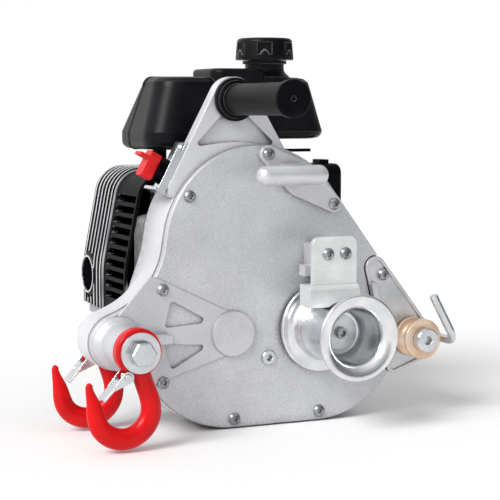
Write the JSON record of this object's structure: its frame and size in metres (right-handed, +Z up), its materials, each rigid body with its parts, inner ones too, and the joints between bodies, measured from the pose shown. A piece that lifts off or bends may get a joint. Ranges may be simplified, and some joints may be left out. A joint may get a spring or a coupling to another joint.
{
  "type": "portable capstan winch",
  "caption": "Petrol capstan winch with a cast gear case, flared rope drum, rope cleat, entry roller, twin safety anchor hooks and a carrying handle.",
  "frame": {"origin": "on the flat underside of the gear case, midway through its depth", "axes": "+X to the right seen from the drum's side, +Y from the drum towards the engine, +Z up"},
  "size_m": [0.3832, 0.33, 0.366],
  "materials": {
    "cast_aluminium": "bead-blasted casting, satin",
    "polished_aluminium": "turned and polished",
    "machined_aluminium": "milled and tumbled",
    "brushed_plate": "brushed plate",
    "zinc_steel": "bright zinc plated",
    "gear_steel": "ground, oiled",
    "bronze": "turned bronze",
    "red_paint": "gloss powder coat",
    "black_rubber": "matt rubber",
    "gasket_paper": "pressed gasket sheet",
    "black_plastic": "satin moulded",
    "cap_plastic": "grained moulded",
    "badge_enamel": "gloss face with a bright rim",
    "red_plastic": "gloss moulded",
    "engine_aluminium": "die cast",
    "silencer_steel": "bare pressed steel",
    "plug_ceramic": "rubber cap on a plated plug",
    "foot_steel": "grey powder coat"
  },
  "bodies": {
    "frame": {"gear_case": "cast_aluminium", "front_cover": "cast_aluminium", "rope_cleat": "machined_aluminium", "guard_block": "machined_aluminium", "roller_arm": "machined_aluminium", "drum_guard": "brushed_plate", "button_screws": "zinc_steel", "anchor_bolt": "zinc_steel", "anchor_washers": "zinc_steel", "anchor_nut": "zinc_steel", "roller_bolt": "zinc_steel", "rope_keeper": "zinc_steel", "throttle_bracket": "zinc_steel", "handle_bar": "zinc_steel", "oil_plug": "zinc_steel", "ball_bearings": "gear_steel", "handle_grip": "black_rubber", "shaft_seal": "black_rubber", "tank_mounts": "black_rubber", "cover_gasket": "gasket_paper", "fan_cover": "black_plastic", "muffler_guard": "black_plastic", "starter_cover": "black_plastic", "fuel_tank": "black_plastic", "air_cleaner": "black_plastic", "throttle_base": "black_plastic", "hood_badge": "badge_enamel", "engine_block": "engine_aluminium", "cylinder": "engine_aluminium", "carburettor": "engine_aluminium", "muffler": "silencer_steel", "spark_plug": "plug_ceramic", "rear_foot": "foot_steel"},
    "drum_set": {"capstan_drum": "polished_aluminium", "drum_retainer": "polished_aluminium", "drum_screw": "zinc_steel", "output_shaft": "gear_steel", "output_gear": "gear_steel"},
    "layshaft_set": {"layshaft": "gear_steel", "layshaft_gear": "gear_steel", "layshaft_pinion": "gear_steel"},
    "clutch_output": {"clutch_bell": "gear_steel", "input_pinion": "gear_steel"},
    "crank_set": {"crankshaft": "gear_steel", "clutch_shoes": "gear_steel", "flywheel": "gear_steel"},
    "front_hook_set": {"front_hook": "red_paint", "front_latch_pin": "zinc_steel", "front_latch_spring": "zinc_steel"},
    "rear_hook_set": {"rear_hook": "red_paint", "rear_latch_pin": "zinc_steel", "rear_latch_spring": "zinc_steel"},
    "front_latch_set": {"front_latch": "zinc_steel"},
    "rear_latch_set": {"rear_latch": "zinc_steel"},
    "roller_set": {"entry_roller": "bronze"},
    "throttle_set": {"throttle_lever": "red_plastic"},
    "cap_set": {"fuel_cap": "cap_plastic"},
    "choke_set": {"choke_lever": "black_plastic"},
    "starter_set": {"starter_grip": "black_plastic"}
  },
  "joints": [
    {"name": "drum_spin", "type": "hinge", "parent": "frame", "child": "drum_set", "pos_m": [0.07124, -0.0345, 0.0915], "axis": [0, 1, 0], "continuous": true},
    {"name": "layshaft_spin", "type": "hinge", "parent": "frame", "child": "layshaft_set", "pos_m": [-0.018, -0.0345, 0.09], "axis": [0, 1, 0], "continuous": true},
    {"name": "clutch_spin", "type": "hinge", "parent": "frame", "child": "clutch_output", "pos_m": [0.009, -0.0345, 0.17192], "axis": [0, 1, 0], "continuous": true},
    {"name": "crank_spin", "type": "hinge", "parent": "frame", "child": "crank_set", "pos_m": [0.009, -0.0345, 0.17192], "axis": [0, 1, 0], "continuous": true},
    {"name": "front_hook_swing", "type": "hinge", "parent": "frame", "child": "front_hook_set", "pos_m": [-0.13, -0.0863, 0.088], "axis": [0, 1, 0], "range_deg": [-100, 110]},
    {"name": "rear_hook_swing", "type": "hinge", "parent": "frame", "child": "rear_hook_set", "pos_m": [-0.13, 0.0143, 0.088], "axis": [0, 1, 0], "range_deg": [-8, 110]},
    {"name": "front_latch_swing", "type": "hinge", "parent": "front_hook_set", "child": "front_latch_set", "pos_m": [-0.141, -0.0863, 0.067], "axis": [0, -1, 0], "range_deg": [0, 40], "stiffness_Nm_per_rad": 0.03, "springref_deg": -22.92},
    {"name": "rear_latch_swing", "type": "hinge", "parent": "rear_hook_set", "child": "rear_latch_set", "pos_m": [-0.141, 0.0143, 0.067], "axis": [0, -1, 0], "range_deg": [0, 40], "stiffness_Nm_per_rad": 0.03, "springref_deg": -22.92},
    {"name": "roller_spin", "type": "hinge", "parent": "frame", "child": "roller_set", "pos_m": [0.172, -0.0483, 0.076], "axis": [0, 1, 0], "continuous": true},
    {"name": "throttle_turn", "type": "hinge", "parent": "frame", "child": "throttle_set", "pos_m": [-0.0724, -0.0115, 0.23658], "axis": [-0.8843, 0, 0.4669], "range_deg": [-35, 35]},
    {"name": "cap_turn", "type": "hinge", "parent": "frame", "child": "cap_set", "pos_m": [0.052, 0.0475, 0.35], "axis": [0, 0, 1], "continuous": true},
    {"name": "choke_turn", "type": "hinge", "parent": "frame", "child": "choke_set", "pos_m": [0.075, 0.0575, 0.251], "axis": [0, 0, 1], "range_deg": [-40, 40]},
    {"name": "starter_pull", "type": "slide", "parent": "frame", "child": "starter_set", "axis": [1, 0, 0], "range_m": [0, 0.05], "stiffness_N_per_m": 60, "springref_m": -0.05}
  ],
  "couplings": [
    {"joint": "layshaft_spin", "follows": "drum_spin", "ratio": -9.8182},
    {"joint": "clutch_spin", "follows": "drum_spin", "ratio": 103.09}
  ]
}
